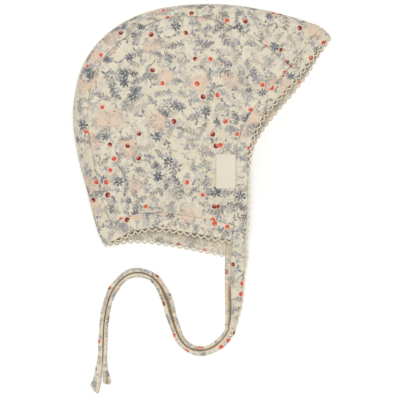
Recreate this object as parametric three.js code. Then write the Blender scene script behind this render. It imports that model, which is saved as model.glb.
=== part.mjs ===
// Baby bonnet of printed jersey, lying on its side with its two ties laid out below it.
// Millimetres. +X points to the forehead, +Y to the crown and +Z away from the surface it lies on.
// Origin: under the middle of the cap and its straps, on that surface.

import * as THREE from 'three';

// Driving dimensions

const cap_length = 181.3;        // back of the head to the tip over the forehead
const cap_height = 168.7;        // neck edge at the nape to the top of the crown
const cap_thickness = 28;        // height of the crown above the surface, both layers and the air inside
const cloth = 1.8;               // wall of the side panels and the crown strip, two layers of jersey
const band_cloth = 2.2;          // wall of the two bands, four layers of jersey
const front_band_width = 8.6;    // binding along the face opening
const neck_band_width = 11.2;    // hem along the neck opening
const seam_gap = 0.35;           // between two pieces sewn edge to edge
const fold_round_upper = 0.62;   // how far in the rounding of the upper layer reaches, per local height
const fold_round_lower = 0.4;    // the same for the layer that lies on the surface
const fold_level = 0.46;         // height of the fold line, per local height

const picot_cord = 0.9;          // thread of the looped edging
const picot_pitch = 5;           // from one loop to the next
const picot_depth = 1.5;         // from the foot of a loop to its crown
const picot_set_back = 0.9;      // from the cloth edge to the foot of a loop

const strap_drop = 57;           // from the nape level down to the lower end of the straps
const strap_cloth = 2.2;         // thickness of a strap
const tie_width = 2.8;           // a tie is a narrow tube of the same cloth
const tie_thickness = 2.2;
const tie_step = 6;              // length of one section of a tie

const label_height = 24;
const label_width = 13.6;
const label_cloth = 0.7;

// Tables. Lengths are shares of the sizes above: along from the back, up from the nape.

// the fold that the surface shows as the outline, from the forehead tip over the crown to the nape
const fold_outline = [
  { along: 0.996, up: 0.872 }, { along: 0.960, up: 0.906 }, { along: 0.850, up: 0.948 },
  { along: 0.730, up: 0.979 }, { along: 0.614, up: 0.997 }, { along: 0.475, up: 0.999 },
  { along: 0.336, up: 0.981 }, { along: 0.212, up: 0.934 }, { along: 0.108, up: 0.853 },
  { along: 0.039, up: 0.749 }, { along: 0.008, up: 0.627 }, { along: 0.001, up: 0.510 },
  { along: 0.023, up: 0.353 }, { along: 0.060, up: 0.195 }, { along: 0.091, up: 0.066 },
  { along: 0.114, up: 0.006 },
];

// the seam between the crown strip and a side panel, from the front band to the neck band
const crown_seam = [
  { along: 0.824, up: 0.755 }, { along: 0.764, up: 0.809 }, { along: 0.680, up: 0.867 },
  { along: 0.590, up: 0.914 }, { along: 0.475, up: 0.943 }, { along: 0.351, up: 0.934 },
  { along: 0.243, up: 0.884 }, { along: 0.150, up: 0.807 }, { along: 0.089, up: 0.720 },
  { along: 0.066, up: 0.618 }, { along: 0.060, up: 0.515 }, { along: 0.078, up: 0.369 },
  { along: 0.106, up: 0.222 }, { along: 0.133, up: 0.110 },
];

// the face edge of each layer, from the forehead tip down to the cheek corner
const face_edge_upper = [
  { along: 0.996, up: 0.872 }, { along: 0.919, up: 0.772 }, { along: 0.861, up: 0.689 },
  { along: 0.795, up: 0.612 }, { along: 0.737, up: 0.535 }, { along: 0.695, up: 0.452 },
  { along: 0.676, up: 0.369 }, { along: 0.674, up: 0.249 }, { along: 0.672, up: 0.124 },
  { along: 0.664, up: 0.008 },
];
const face_edge_lower = [
  { along: 0.996, up: 0.872 }, { along: 0.950, up: 0.797 }, { along: 0.903, up: 0.712 },
  { along: 0.846, up: 0.633 }, { along: 0.788, up: 0.560 }, { along: 0.734, up: 0.485 },
  { along: 0.693, up: 0.407 }, { along: 0.676, up: 0.320 }, { along: 0.668, up: 0.207 },
  { along: 0.654, up: 0.071 }, { along: 0.635, up: -0.050 },
];

// the neck edge of each layer, from the nape to the inner side of the front band
const neck_edge_upper = [
  { along: 0.114, up: 0.006 }, { along: 0.151, up: 0.015 }, { along: 0.185, up: 0.033 },
  { along: 0.228, up: 0.054 }, { along: 0.282, up: 0.067 }, { along: 0.355, up: 0.066 },
  { along: 0.432, up: 0.054 }, { along: 0.510, up: 0.040 }, { along: 0.612, up: 0.017 },
];
const neck_edge_lower = [
  { along: 0.114, up: 0.006 }, { along: 0.162, up: 0.010 }, { along: 0.220, up: 0.018 },
  { along: 0.286, up: 0.016 }, { along: 0.355, up: 0.006 }, { along: 0.432, up: -0.008 },
  { along: 0.510, up: -0.025 }, { along: 0.585, up: -0.043 },
];

// how high the upper layer stands over the surface, as shares of cap_thickness
const heights = [
  { along: 0.45, up: 0.62, height: 1.00 },
  { along: 0.14, up: 0.52, height: 0.90 },
  { along: 0.22, up: 0.80, height: 0.86 },
  { along: 0.50, up: 0.90, height: 0.80 },
  { along: 0.75, up: 0.88, height: 0.60 },
  { along: 0.97, up: 0.86, height: 0.30 },
  { along: 0.84, up: 0.72, height: 0.44 },
  { along: 0.68, up: 0.44, height: 0.60 },
  { along: 0.66, up: 0.22, height: 0.56 },
  { along: 0.65, up: 0.01, height: 0.36 },
  { along: 0.40, up: 0.32, height: 0.92 },
  { along: 0.40, up: 0.05, height: 0.60 },
  { along: 0.12, up: 0.04, height: 0.42 },
];
const height_spread = 0.135;

// soft hollows and puffs of the upper layer, as shares of cap_thickness and cap_height
const dents = [
  { along: 0.30, up: 0.72, rise: 0.05, reach: 0.11 },
  { along: 0.58, up: 0.68, rise: -0.05, reach: 0.09 },
  { along: 0.24, up: 0.40, rise: -0.05, reach: 0.10 },
  { along: 0.52, up: 0.24, rise: 0.05, reach: 0.08 },
  { along: 0.74, up: 0.74, rise: 0.04, reach: 0.07 },
];

// the straps below the ends of the front band: down is a share of strap_drop, left and right of
// cap_length from the back, and level the height of the underside in strap thicknesses
const strap_upper = [
  { down: 0.14, left: 0.611, right: 0.667, level: 2.70 },
  { down: 0.32, left: 0.611, right: 0.665, level: 1.75 },
  { down: 0.51, left: 0.611, right: 0.663, level: 1.30 },
  { down: 0.72, left: 0.614, right: 0.659, level: 1.20 },
  { down: 0.84, left: 0.616, right: 0.650, level: 1.15 },
  { down: 0.93, left: 0.615, right: 0.641, level: 0.55 },
  { down: 1.00, left: 0.612, right: 0.631, level: 0 },
];
const strap_lower = [
  { down: 0.30, left: 0.587, right: 0.636, level: 0 },
  { down: 0.51, left: 0.587, right: 0.635, level: 0 },
  { down: 0.70, left: 0.588, right: 0.628, level: 0 },
  { down: 0.82, left: 0.589, right: 0.612, level: 0 },
  { down: 0.91, left: 0.589, right: 0.610, level: 0 },
  { down: 1.00, left: 0.587, right: 0.606, level: 0 },
];

// the route of the pair of ties, in millimetres from the lower end of the straps at cap_length 0.61:
// right and up, and apart, the distance between the middles of the two
const tie_route = [
  { right: -0.2, up: -2.4, apart: 4.5 }, { right: -1.7, up: -5.6, apart: 4.2 },
  { right: -5.1, up: -10.0, apart: 3.8 }, { right: -9.9, up: -14.2, apart: 3.5 },
  { right: -16.1, up: -17.2, apart: 3.4 }, { right: -21.7, up: -17.9, apart: 3.4 },
  { right: -27.3, up: -16.9, apart: 3.4 }, { right: -32.0, up: -13.9, apart: 3.5 },
  { right: -35.7, up: -9.4, apart: 3.6 }, { right: -38.5, up: -3.2, apart: 3.8 },
  { right: -41.5, up: 5.9, apart: 4.2 }, { right: -43.8, up: 14.3, apart: 5.0 },
  { right: -45.9, up: 20.3, apart: 4.8 }, { right: -49.0, up: 26.9, apart: 4.1 },
  { right: -52.5, up: 31.6, apart: 3.6 }, { right: -56.7, up: 34.9, apart: 3.4 },
  { right: -61.2, up: 36.7, apart: 3.4 }, { right: -66.5, up: 37.3, apart: 3.4 },
  { right: -72.1, up: 35.9, apart: 3.4 }, { right: -77.0, up: 32.5, apart: 3.4 },
  { right: -80.9, up: 28.3, apart: 3.4 }, { right: -84.0, up: 23.2, apart: 3.4 },
  { right: -86.8, up: 15.7, apart: 3.4 }, { right: -88.6, up: 7.3, apart: 3.4 },
  { right: -89.6, up: -1.5, apart: 3.4 }, { right: -90.0, up: -12.0, apart: 3.4 },
  { right: -90.3, up: -22.1, apart: 3.6 }, { right: -90.8, up: -30.5, apart: 4.3 },
  { right: -90.7, up: -38.5, apart: 7.0 }, { right: -91.6, up: -44.5, apart: 8.4 },
];
const tie_upper_short = 5.5;     // how much sooner the tie of the upper strap ends

// Frame: shares to millimetres, and curves through the rows of a table

const middle_height = (cap_height - strap_drop) / 2;

function place(along, up) {
  return new THREE.Vector3((along - 0.5) * cap_length, up * cap_height - middle_height, 0);
}

function curveThrough(rows) {
  const curve = new THREE.CatmullRomCurve3(rows, false, 'centripetal');
  curve.arcLengthDivisions = 400;
  return curve;
}

function curveOf(table) {
  return curveThrough(table.map((row) => place(row.along, row.up)));
}

const fold = curveOf(fold_outline);

// The straight ends added to the fold let a point just past its tips find the nearest side too.
const fold_points = fold.getSpacedPoints(120);
const tip_stretch = 25;
fold_points.unshift(fold_points[0].clone().addScaledVector(fold.getTangentAt(0), -tip_stretch));
fold_points.push(fold_points.at(-1).clone().addScaledVector(fold.getTangentAt(1), tip_stretch));

// Distance of a point from the fold, and the direction that leads away from the fold there.
function insetAt(x, y) {
  let best = Infinity;
  const inward = new THREE.Vector2();
  for (let i = 1; i < fold_points.length; i += 1) {
    const a = fold_points[i - 1];
    const b = fold_points[i];
    const run_x = b.x - a.x;
    const run_y = b.y - a.y;
    const length = Math.hypot(run_x, run_y);
    const share = THREE.MathUtils.clamp(((x - a.x) * run_x + (y - a.y) * run_y) / length ** 2, 0, 1);
    const off_x = x - a.x - run_x * share;
    const off_y = y - a.y - run_y * share;
    const distance = Math.hypot(off_x, off_y);
    if (distance < best) {
      best = distance;
      inward.set(-run_y / length, run_x / length);
    }
  }
  return { distance: best, inward };
}

// Height of the upper layer: the weighted mean of the table's heights, plus its dents.
function shoulderAt(x, y) {
  let sum = 0;
  let weights = 0;
  for (const row of heights) {
    const at = place(row.along, row.up);
    const far = Math.hypot(x - at.x, y - at.y) / (height_spread * cap_height);
    const weight = Math.exp(-far * far / 2);
    sum += weight * row.height;
    weights += weight;
  }
  let height = sum / weights;
  for (const row of dents) {
    const at = place(row.along, row.up);
    const far = Math.hypot(x - at.x, y - at.y) / (row.reach * cap_height);
    height += row.rise * Math.exp(-far * far);
  }
  return height * cap_thickness;
}

// A point of one layer, some depth inside its outer face. Near the fold the layer bends over in a
// quarter ellipse, from its own level down or up to the fold line.
function layerPoint(upper, x, y, depth) {
  const { distance, inward } = insetAt(x, y);
  const shoulder = shoulderAt(x, y);
  const middle = shoulder * fold_level;
  const round = shoulder * (upper ? fold_round_upper : fold_round_lower);
  const lean = Math.max(0, 1 - distance / round);
  const rise = Math.sqrt(1 - lean * lean);
  const reach = (upper ? shoulder - middle : middle) - depth;
  return new THREE.Vector3(
    x + inward.x * depth * lean,
    y + inward.y * depth * lean,
    middle + (upper ? reach : -reach) * rise,
  );
}

// Solids

const material = {
  print: new THREE.MeshStandardMaterial({ color: 0xd9d0ba, roughness: 0.9, metalness: 0 }),
  trim: new THREE.MeshStandardMaterial({ color: 0xe4dac6, roughness: 0.85, metalness: 0 }),
  label: new THREE.MeshStandardMaterial({ color: 0xf1ece0, roughness: 0.8, metalness: 0 }),
};

// One closed body through rings of the same number of points. A ring runs along one face of the
// wall and back along the other, so its ends are closed by rungs from one face to the other.
function solidThrough(rings) {
  const count = rings[0].length;
  const positions = rings.flatMap((ring) => ring.flatMap((point) => [point.x, point.y, point.z]));
  const index = [];
  for (let i = 1; i < rings.length; i += 1) {
    for (let j = 0; j < count; j += 1) {
      const a = (i - 1) * count + j;
      const b = (i - 1) * count + (j + 1) % count;
      index.push(a, b, b + count, a, b + count, a + count);
    }
  }
  const last = (rings.length - 1) * count;
  for (let j = 0; j < count / 2 - 1; j += 1) {
    const far = count - 1 - j;
    index.push(j, far, far - 1, j, far - 1, j + 1);
    index.push(last + j, last + far - 1, last + far, last + j, last + j + 1, last + far - 1);
  }
  const geometry = new THREE.BufferGeometry();
  geometry.setAttribute('position', new THREE.Float32BufferAttribute(positions, 3));
  geometry.setIndex(signedVolume(positions, index) < 0 ? index.reverse() : index);
  geometry.computeVertexNormals();
  return geometry;
}

function signedVolume(positions, index) {
  const corner = (k) => new THREE.Vector3().fromArray(positions, index[k] * 3);
  let volume = 0;
  for (let k = 0; k < index.length; k += 3) {
    volume += corner(k).dot(corner(k + 1).cross(corner(k + 2)));
  }
  return volume;
}

function named(name, geometry, look) {
  const mesh = new THREE.Mesh(geometry, look.clone());
  mesh.name = name;
  return mesh;
}

function spread(count, from, to) {
  return Array.from({ length: count + 1 }, (unused, i) => from + (to - from) * i / count);
}

// Bands. A band is one long strip sewn along an edge. It runs along the upper layer to the tip,
// folds round there, and runs back along the lower layer.

const tip_blend = 0.14;          // over this share of the edge the ribs turn to lie along the fold
const end_blend = 0.12;          // over this share they turn to lie along what the band ends at

// The foot of a rib is on the edge and its head on the band's seam. At the tip the rib lies on the
// fold itself, and away from it the rib stands square to the edge.
function ribAt(band, upper, from_tip) {
  const edge = upper ? band.upper : band.lower;
  const foot = edge.curve.getPointAt(from_tip);
  const tangent = edge.curve.getTangentAt(from_tip);
  const side = band.tip === 0 ? -1 : 1;
  const square = new THREE.Vector3(-tangent.y * side, tangent.x * side, 0);
  const fold_share = Math.abs(band.tip - band.width / fold.getLength());
  const on_fold = fold.getPointAt(fold_share).sub(edge.curve.getPointAt(0)).normalize();
  const direction = on_fold.lerp(square, THREE.MathUtils.smoothstep(from_tip, 0, tip_blend));
  if (edge.end) direction.lerp(edge.end, THREE.MathUtils.smoothstep(from_tip, 1 - end_blend, 1));
  return { foot, direction: direction.normalize() };
}

// The line along a band at which its neighbours end, drawn clear of its seam.
function clearOf(band, upper) {
  const reach = band.width + seam_gap;
  const heads = spread(40, 0, 1).map((share) => {
    const { foot, direction } = ribAt(band, upper, share);
    return foot.addScaledVector(direction, reach);
  });
  return curveThrough(heads);
}

function shareNearest(curve, point) {
  const shares = spread(400, 0, 1);
  const gaps = shares.map((share) => curve.getPointAt(share).distanceTo(point));
  return shares[gaps.indexOf(Math.min(...gaps))];
}

function nearestOn(curve, point) {
  return curve.getPointAt(shareNearest(curve, point));
}

const face = {
  tip: 0,
  width: front_band_width,
  upper: { curve: curveOf(face_edge_upper) },
  lower: { curve: curveOf(face_edge_lower) },
};

// The neck edge ends at the front band, and the last rib of its band lies along that band.
function neckEdge(table, upper) {
  const points = table.map((row) => place(row.along, row.up));
  const front = clearOf(face, upper);
  const last = nearestOn(front, points.at(-1));
  points[points.length - 1] = last;
  const above = last.clone().add(new THREE.Vector3(0, neck_band_width, 0));
  return { curve: curveThrough(points), end: nearestOn(front, above).sub(last).normalize() };
}

const neck = {
  tip: 1,
  width: neck_band_width,
  upper: neckEdge(neck_edge_upper, true),
  lower: neckEdge(neck_edge_lower, false),
};

// The ribs of the whole band, closer together where it folds round at the tip.
function bandRibs(steps) {
  const near_tip = [0.008, 0.02, 0.04, 0.07];
  const one_layer = [...near_tip, ...spread(steps, 0.11, 1)];
  const ribs = one_layer.map((share) => ({ upper: true, share })).reverse();
  ribs.push({ upper: true, share: 0 });
  return [...ribs, ...one_layer.map((share) => ({ upper: false, share }))];
}

// One cross-section of a band: across its width on the outer face and back on the inner one.
function bandRing(band, { upper, share }) {
  const { foot, direction } = ribAt(band, upper, share);
  const across = spread(3, 0, band.width).map((d) => foot.clone().addScaledVector(direction, d));
  const outer = across.map((p) => layerPoint(upper, p.x, p.y, 0));
  const inner = across.map((p) => layerPoint(upper, p.x, p.y, band_cloth));
  return [...outer, ...inner.reverse()];
}

function bandSolid(band, steps) {
  return solidThrough(bandRibs(steps).map((rib) => bandRing(band, rib)));
}

// Seams in plan, one set for each layer. front_start and nape_start are the shares of the bands'
// clear lines at which the crown seam ends.
function seamsOf(upper) {
  const front = clearOf(face, upper);
  const nape = clearOf(neck, upper);
  const points = crown_seam.map((row) => place(row.along, row.up));
  const front_start = shareNearest(front, points[0]);
  const nape_start = shareNearest(nape, points.at(-1));
  points[0] = front.getPointAt(front_start);
  points[points.length - 1] = nape.getPointAt(nape_start);
  const corner = shareNearest(front, nape.getPointAt(1));
  return { front, nape, crown: curveThrough(points), front_start, nape_start, corner };
}

const seams = { upper: seamsOf(true), lower: seamsOf(false) };

// Side panels. Each row of a panel crosses it from the crown seam to the seam of a band.

const panel_rows_front = 15;
const panel_rows_neck = 9;
const panel_steps = [0, 0.05, 0.12, 0.22, 0.36, 0.52, 0.68, 0.84, 1];
const panel_ends = 0.02;         // how far from a panel's tips its first and last rows are
const panel_corner = 0.63;       // the share of the crown seam that faces the cheek corner

function panelSolid(upper) {
  const { front, nape, crown, front_start, nape_start, corner } = upper ? seams.upper : seams.lower;
  const first = front_start + panel_ends;
  const last = nape_start + panel_ends;
  const ends = spread(panel_rows_front, 0, 1).map((t) => ({
    crown: crown.getPointAt(panel_ends + (panel_corner - panel_ends) * t),
    opening: front.getPointAt(first + (corner - first) * t),
  }));
  ends.push(...spread(panel_rows_neck, 0, 1).slice(1).map((t) => ({
    crown: crown.getPointAt(panel_corner + (1 - panel_ends - panel_corner) * t),
    opening: nape.getPointAt(1 + (last - 1) * t),
  })));
  const rings = ends.map((end) => {
    const toward = end.opening.clone().sub(end.crown).normalize();
    const start = end.crown.clone().addScaledVector(toward, seam_gap);
    const across = panel_steps.map((t) => start.clone().lerp(end.opening, t));
    const outer = across.map((p) => layerPoint(upper, p.x, p.y, 0));
    const inner = across.map((p) => layerPoint(upper, p.x, p.y, cloth));
    return [...outer, ...inner.reverse()];
  });
  return solidThrough(rings);
}

// Crown strip. It lies over the fold from one side panel to the other, and ends at the two bands.

const strip_rows = 22;
const strip_end_rows = 7;
const strip_steps = [1, 0.72, 0.46, 0.27, 0.13, 0.04];

function stripHead(layer, part, t) {
  const { front, nape, crown, front_start, nape_start } = seams[layer];
  if (part === 'front') return front.getPointAt(front_start * t);
  if (part === 'nape') return nape.getPointAt(nape_start * (1 - t));
  return crown.getPointAt(t);
}

function stripRing({ share, part, t }) {
  const start = fold.getPointAt(share);
  const armAt = (layer) => {
    const head = stripHead(layer, part, t);
    return strip_steps.map((step) => start.clone().lerp(head, step));
  };
  const over = armAt('upper');
  const under = armAt('lower').reverse();
  const faceAt = (depth) => [
    ...over.map((p) => layerPoint(true, p.x, p.y, depth)),
    layerPoint(true, start.x, start.y, depth),
    ...under.map((p) => layerPoint(false, p.x, p.y, depth)),
  ];
  return [...faceAt(0), ...faceAt(cloth).reverse()];
}

const strip_front_turn = 0.205;  // the fold's share opposite the front end of the crown seam
const strip_nape_turn = 0.955;   // and opposite its rear end
const strip_tip = 0.07;          // how far from a band's tip the strip's first row ends
const strip_clear = 1;           // how far past a band's tip the strip starts on the fold

function stripSolid() {
  const length = fold.getLength();
  const first = (front_band_width + seam_gap + strip_clear) / length;
  const last = 1 - (neck_band_width + seam_gap + strip_clear) / length;
  const rowsOf = (part, count, from, to, tip_start, tip_end) => spread(count, 0, 1).map((t) => ({
    part, share: from + (to - from) * t, t: tip_start + (tip_end - tip_start) * t,
  }));
  const rows = [
    ...rowsOf('front', strip_end_rows, first, strip_front_turn, strip_tip, 1),
    ...rowsOf('crown', strip_rows, strip_front_turn, strip_nape_turn, 0, 1).slice(1),
    ...rowsOf('nape', 3, strip_nape_turn, last, 0, 1 - strip_tip * 3).slice(1),
  ];
  return solidThrough(rows.map(stripRing));
}

// Looped edging: a thread that runs to and fro along an edge, one loop in each pitch.

// A thread through points that lie in turn at the foot and at the crown of a loop.
function threadSolid(stations) {
  const half = picot_cord / 2;
  const rings = stations.map(({ at, out, up }, i) => {
    const reach = i % 2 === 0 ? 0 : picot_depth;
    const centre = at.clone().addScaledVector(out, picot_set_back + reach);
    return [
      centre.clone().addScaledVector(up, half),
      centre.clone().addScaledVector(out, half * 1.3),
      centre.clone().addScaledVector(up, -half),
      centre.clone().addScaledVector(out, -half * 1.3),
    ];
  });
  return solidThrough(rings);
}

// Stations half a pitch apart along a chain of places, measured in space.
function evenStations(chain) {
  const lengths = [0];
  for (let i = 1; i < chain.length; i += 1) {
    lengths.push(lengths[i - 1] + chain[i].at.distanceTo(chain[i - 1].at));
  }
  const total = lengths.at(-1);
  const count = 2 * Math.round(total / picot_pitch);
  return spread(count, 0, total).map((want) => {
    let i = lengths.findIndex((length) => length >= want - 1e-9);
    i = Math.max(1, i);
    const t = (want - lengths[i - 1]) / (lengths[i] - lengths[i - 1]);
    return {
      at: chain[i - 1].at.clone().lerp(chain[i].at, t),
      out: chain[i - 1].out.clone().lerp(chain[i].out, t).normalize(),
      up: chain[i - 1].up.clone().lerp(chain[i].up, t).normalize(),
    };
  });
}

function edgingSolid(band, upper_end, lower_end) {
  const fine = spread(160, 0, 1).map((t) => t ** 1.5);
  const ribs = fine.map((t) => ({ upper: true, share: t * upper_end })).reverse();
  ribs.push(...fine.slice(1).map((t) => ({ upper: false, share: t * lower_end })));
  const chain = ribs.map(({ upper, share }) => {
    const { foot, direction } = ribAt(band, upper, share);
    const outer = layerPoint(upper, foot.x, foot.y, 0);
    const inner = layerPoint(upper, foot.x, foot.y, band_cloth);
    const up = outer.clone().sub(inner).normalize();
    return { at: outer.lerp(inner, 0.5), out: direction.clone().negate(), up };
  });
  return threadSolid(evenStations(chain));
}

// Straps. Each goes on from the end of the front band and narrows into its tie.

// The two lower edges of a strap, as curves from the end of the front band to the tie.
function strapEdges(table, upper) {
  const { foot, direction } = ribAt(face, upper, 1);
  const head = foot.clone().addScaledVector(direction, front_band_width);
  const below_band = (point) => {
    const start = layerPoint(upper, point.x, point.y, upper ? band_cloth : 0);
    start.y -= seam_gap;
    return start;
  };
  const along_strap = (row, side) => {
    const point = place(row[side], -row.down * strap_drop / cap_height);
    return point.setZ(row.level * strap_cloth);
  };
  return {
    left: curveThrough([below_band(head), ...table.map((row) => along_strap(row, 'left'))]),
    right: curveThrough([below_band(foot), ...table.map((row) => along_strap(row, 'right'))]),
  };
}

const straps = { upper: strapEdges(strap_upper, true), lower: strapEdges(strap_lower, false) };

function strapSolid({ left, right }) {
  const rings = spread(16, 0, 1).map((t) => {
    const base = [left.getPoint(t), right.getPoint(t)];
    base.splice(1, 0, base[0].clone().lerp(base[1], 0.5));
    base.forEach((point) => point.setZ(Math.max(0, point.z)));
    const top = base.map((point) => point.clone().setZ(point.z + strap_cloth));
    return [...top, ...base.reverse()];
  });
  return solidThrough(rings);
}

const strap_edging = { from: 0.03, upper_to: 0.97, lower_to: 0.6 };

function strapEdgingSolid({ right }, to) {
  const chain = spread(40, strap_edging.from, to).map((t) => ({
    at: right.getPoint(t).add(new THREE.Vector3(0, 0, strap_cloth / 2)),
    out: new THREE.Vector3(1, 0, 0),
    up: new THREE.Vector3(0, 0, 1),
  }));
  return threadSolid(evenStations(chain));
}

// Ties: two narrow tubes of cloth, side by side on the surface

const tie_ends = place(0.61, -strap_drop / cap_height);

// The middle line of one tie: from the end of its strap, then beside the other tie.
function tiePoints(strap, side, shorter) {
  const middle = tie_route.map((row) => new THREE.Vector3(row.right, row.up, 0).add(tie_ends));
  const curve = curveThrough(middle);
  const points = middle.map((point, i) => {
    const tangent = curve.getTangent(i / (middle.length - 1));
    const beside = new THREE.Vector3(-tangent.y, tangent.x, 0);
    return point.addScaledVector(beside, side * tie_route[i].apart / 2);
  });
  const end = points.at(-1).clone().sub(points.at(-2)).normalize();
  points.at(-1).addScaledVector(end, -shorter);
  const start = strap.left.getPoint(1).lerp(strap.right.getPoint(1), 0.5);
  start.y -= seam_gap;
  points.unshift(start);
  return points.map((point) => point.setZ(tie_thickness / 2));
}

function tieSolid(strap, side, shorter) {
  const path = curveThrough(tiePoints(strap, side, shorter));
  const corners = spread(8, 0, 2 * Math.PI).slice(1).map((angle) => new THREE.Vector2(
    Math.cos(angle) * tie_thickness / 2,
    Math.sin(angle) * tie_width / 2,
  ));
  return new THREE.ExtrudeGeometry(new THREE.Shape(corners), {
    extrudePath: path,
    steps: Math.round(path.getLength() / tie_step),
    bevelEnabled: false,
  });
}

// Label: a small woven strip on the upper panel, its long side caught in the seam of the front band

const label_place = { along: 0.590, up: 0.304 };

function labelSolid() {
  const middle = place(label_place.along, label_place.up);
  const rings = spread(6, -0.5, 0.5).map((v) => {
    const y = middle.y + v * label_height;
    const across = spread(4, -0.5, 0.5).map((u) => middle.x + u * label_width);
    const outer = across.map((x) => layerPoint(true, x, y, -seam_gap - label_cloth));
    const inner = across.map((x) => layerPoint(true, x, y, -seam_gap));
    return [...outer, ...inner.reverse()];
  });
  return solidThrough(rings);
}

// Assembly

const bonnet = new THREE.Group();
bonnet.add(
  named('side_panel_upper', panelSolid(true), material.print),
  named('side_panel_lower', panelSolid(false), material.print),
  named('crown_strip', stripSolid(), material.print),
  named('front_band', bandSolid(face, 17), material.print),
  named('neck_band', bandSolid(neck, 10), material.print),
  named('picot_front', edgingSolid(face, 1, 1), material.trim),
  named('picot_neck', edgingSolid(neck, 1, 1), material.trim),
  named('strap_upper', strapSolid(straps.upper), material.print),
  named('strap_lower', strapSolid(straps.lower), material.print),
  named('picot_strap_upper', strapEdgingSolid(straps.upper, strap_edging.upper_to), material.trim),
  named('picot_strap_lower', strapEdgingSolid(straps.lower, strap_edging.lower_to), material.trim),
  named('tie_upper', tieSolid(straps.upper, 1, tie_upper_short), material.print),
  named('tie_lower', tieSolid(straps.lower, -1, 0), material.print),
  named('label', labelSolid(), material.label),
);

export default bonnet;
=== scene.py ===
# A baby bonnet of printed cotton jersey, lying on its side with its two ties laid out below it,
# seen from straight above. Metres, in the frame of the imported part.

import bpy
import numpy as np
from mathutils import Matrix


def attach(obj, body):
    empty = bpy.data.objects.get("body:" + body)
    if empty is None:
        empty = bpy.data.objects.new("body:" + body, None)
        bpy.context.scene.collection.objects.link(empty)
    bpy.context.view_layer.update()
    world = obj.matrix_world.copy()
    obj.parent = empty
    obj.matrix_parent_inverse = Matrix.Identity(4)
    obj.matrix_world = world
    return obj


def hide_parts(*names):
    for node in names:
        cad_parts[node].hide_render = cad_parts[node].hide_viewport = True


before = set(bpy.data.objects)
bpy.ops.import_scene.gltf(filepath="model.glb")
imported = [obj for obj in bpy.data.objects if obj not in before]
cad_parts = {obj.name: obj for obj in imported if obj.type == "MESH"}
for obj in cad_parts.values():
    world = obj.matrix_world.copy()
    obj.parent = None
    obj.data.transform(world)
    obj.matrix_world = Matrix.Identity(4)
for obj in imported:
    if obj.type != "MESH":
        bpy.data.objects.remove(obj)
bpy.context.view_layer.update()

# Camera, light and floor
# The camera looks straight down from far off, so that the cloth shows almost no perspective.
# A bright sky and one large lamp overhead give the flat, even light of a studio table.

frame_width = 0.280
frame_middle = (-0.00175, -0.0244)
camera_height = 1.5
sharp_level = 0.012              # height over the floor at which the frame is that wide

lens = bpy.data.cameras.new("camera")
lens.sensor_width = 36
lens.lens = lens.sensor_width * (camera_height - sharp_level) / frame_width
camera = bpy.data.objects.new("camera", lens)
camera.location = (*frame_middle, camera_height)
bpy.context.scene.collection.objects.link(camera)
bpy.context.scene.camera = camera
bpy.context.scene.view_settings.view_transform = "Standard"

sky = bpy.data.worlds.new("sky")
sky.use_nodes = True
sky_light = sky.node_tree.nodes["Background"]
sky_light.inputs["Color"].default_value = (1.0, 0.995, 0.985, 1.0)
sky_light.inputs["Strength"].default_value = 0.58
bpy.context.scene.world = sky

lamp = bpy.data.lights.new("lamp", "AREA")
lamp.size = 0.45
lamp.energy = 9.1
lamp.color = (1.0, 0.985, 0.96)
lamp_holder = bpy.data.objects.new("lamp", lamp)
lamp_holder.location = (-0.04, 0.12, 1.40)
lamp_holder.rotation_euler = (-0.0855, -0.0285, 0.0)
bpy.context.scene.collection.objects.link(lamp_holder)

floor_size = 4.0
floor_level = -0.0002
half_floor = floor_size / 2
floor_mesh = bpy.data.meshes.new("floor")
floor_mesh.from_pydata(
    [(-half_floor, -half_floor, floor_level), (half_floor, -half_floor, floor_level),
     (half_floor, half_floor, floor_level), (-half_floor, half_floor, floor_level)],
    [], [(0, 1, 2, 3)],
)
floor = bpy.data.objects.new("floor", floor_mesh)
bpy.context.scene.collection.objects.link(floor)
floor_paint = bpy.data.materials.new("pale_floor")
floor_paint.use_nodes = True
floor_shader = floor_paint.node_tree.nodes["Principled BSDF"]
floor_shader.inputs["Base Color"].default_value = (0.95, 0.95, 0.95, 1)
floor_shader.inputs["Roughness"].default_value = 0.9
floor_shader.inputs["Emission Color"].default_value = (1, 1, 1, 1)
floor_shader.inputs["Emission Strength"].default_value = 0.12
floor_mesh.materials.append(floor_paint)

# Printed jersey
# All the cloth is one fine cotton jersey. Its print is a cream ground strewn with small grey-blue
# sprigs, leaves and blossoms, stippled peach blooms and red berries, and is worked out in mm.


def srgb(red, green, blue):
    """Linear colour of a screen colour given from 0 to 255."""
    share = np.array([red, green, blue]) / 255
    linear = np.where(share <= 0.04045, share / 12.92, ((share + 0.055) / 1.055) ** 2.4)
    return (*linear.tolist(), 1.0)


class Wire:
    """A number, vector or colour in a shader tree, from the output socket of a node. Arithmetic on
    a number adds the Math node that works out the result."""

    def __init__(self, socket):
        self.socket = socket
        self.tree = socket.id_data

    def math(self, operation, *others):
        """The result of a Math node on this number and others."""
        return put(self.tree, "ShaderNodeMath", enumerate((self, *others)), operation=operation)[0]

    def vector(self, operation, inputs=(), give=0):
        """The result of a Vector Math node on this vector."""
        inputs = {0: self, **dict(inputs)}
        return put(self.tree, "ShaderNodeVectorMath", inputs, operation=operation)[give]

    def step(self, low, high):
        """A smooth step of this number, from 0 at low to 1 at high."""
        inputs = {"Value": self, "From Min": low, "From Max": high}
        return put(self.tree, "ShaderNodeMapRange", inputs, interpolation_type="SMOOTHSTEP")[0]

    def __add__(self, other):
        return self.math("ADD", other)

    def __sub__(self, other):
        return self.math("SUBTRACT", other)

    def __rsub__(self, other):
        return self.math("MULTIPLY_ADD", -1.0, other)

    def __mul__(self, other):
        return self.math("MULTIPLY", other)

    def __truediv__(self, other):
        return self.math("DIVIDE", other)

    def __pow__(self, other):
        return self.math("POWER", other)

    def __abs__(self):
        return self.math("ABSOLUTE")


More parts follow.
